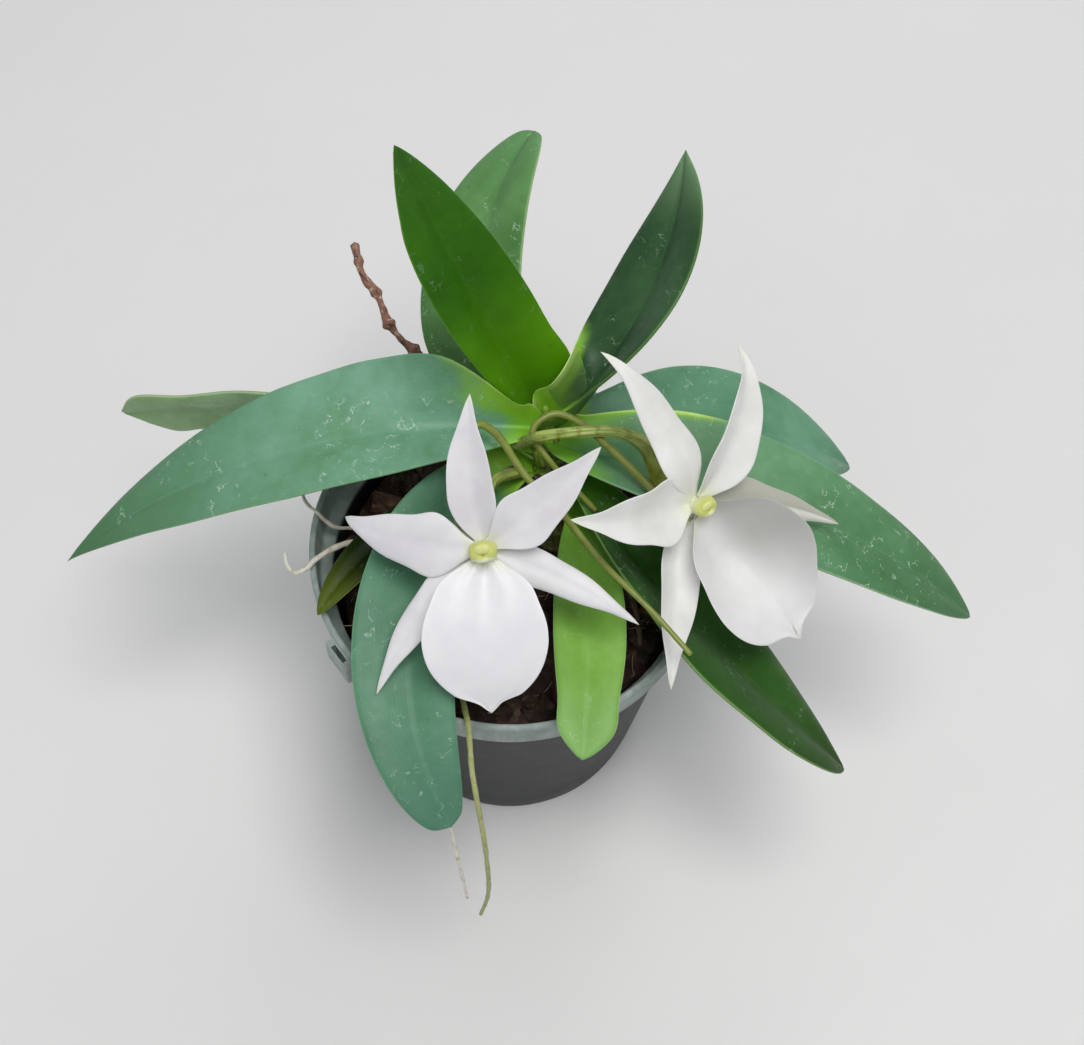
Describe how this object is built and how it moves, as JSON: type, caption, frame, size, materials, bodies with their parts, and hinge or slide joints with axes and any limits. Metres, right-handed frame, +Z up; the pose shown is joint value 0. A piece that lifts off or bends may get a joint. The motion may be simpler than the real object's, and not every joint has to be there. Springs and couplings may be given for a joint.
{
  "type": "potted orchid",
  "caption": "Leathery-leaved orchid with white long-spurred flowers, growing in bark in a smoky plastic pot with a stepped collar.",
  "frame": {"origin": "centre of the flat middle foot on the pot's underside, which is also the pot's axis", "axes": "+Z up along the pot's axis, -Y towards the viewer of the flowers, +X to the viewer's right"},
  "size_m": [0.2708, 0.2079, 0.2327],
  "materials": {
    "pot": "smoky translucent moulded polypropylene, smudged",
    "potting_mix": "dark damp fine bark",
    "bark": "rough dark red-brown bark chunks",
    "stem": "old sheaths, fibrous and matt",
    "leaf_blue_green": "waxy bluish green with pale scratches",
    "leaf_fresh": "smooth bright green",
    "leaf_dark": "waxy dark green with pale flecks",
    "leaf_pale": "smooth light yellow-green",
    "leaf_olive": "ageing olive green",
    "flower": "thin fleshy white with a fine sparkle",
    "column": "waxy pale yellow-green",
    "flower_stalk": "ribbed olive green",
    "spur": "smooth olive green, paler at the mouth",
    "live_root": "chalky grey-green skin",
    "dry_root": "papery tan",
    "dead_tissue": "dry papery brown"
  },
  "bodies": {
    "root": {"pot": "pot", "potting_mix": "potting_mix", "bark_chip_1": "bark", "bark_chip_2": "bark", "bark_chip_3": "bark", "bark_chip_4": "bark", "bark_chip_5": "bark", "bark_chip_6": "bark", "bark_chip_7": "bark", "bark_chip_8": "bark", "bark_chip_9": "bark", "bark_chip_10": "bark", "stem": "stem", "root_over_rim_long": "live_root", "root_over_rim_short": "dry_root", "root_live": "live_root", "root_buried": "dry_root", "root_dry_spike": "dry_root", "root_dry_curl": "dry_root", "leaf_left_large": "leaf_blue_green", "leaf_left_far": "leaf_olive", "leaf_top": "leaf_fresh", "leaf_back": "leaf_blue_green", "leaf_back_right": "leaf_dark", "leaf_right_rear": "leaf_blue_green", "leaf_right_large": "leaf_dark", "leaf_right_low": "leaf_dark", "leaf_front_small": "leaf_pale", "leaf_front_hanging": "leaf_blue_green", "leaf_left_small": "leaf_olive", "left_flower_dorsal_sepal": "flower", "left_flower_petal_left": "flower", "left_flower_petal_right": "flower", "left_flower_lateral_sepal_left": "flower", "left_flower_lateral_sepal_right": "flower", "left_flower_lip": "flower", "left_flower_column": "column", "left_flower_anther_cap": "flower", "left_flower_stalk": "flower_stalk", "left_flower_spur": "spur", "right_flower_dorsal_sepal": "flower", "right_flower_petal_left": "flower", "right_flower_petal_right": "flower", "right_flower_lateral_sepal_left": "flower", "right_flower_lateral_sepal_right": "flower", "right_flower_lip": "flower", "right_flower_column": "column", "right_flower_anther_cap": "flower", "right_flower_stalk": "flower_stalk", "right_flower_spur": "spur", "old_flower_stalk": "dead_tissue", "dried_bract_1": "dead_tissue", "dried_bract_2": "dead_tissue", "dried_bract_3": "dead_tissue"}
  },
  "joints": []
}
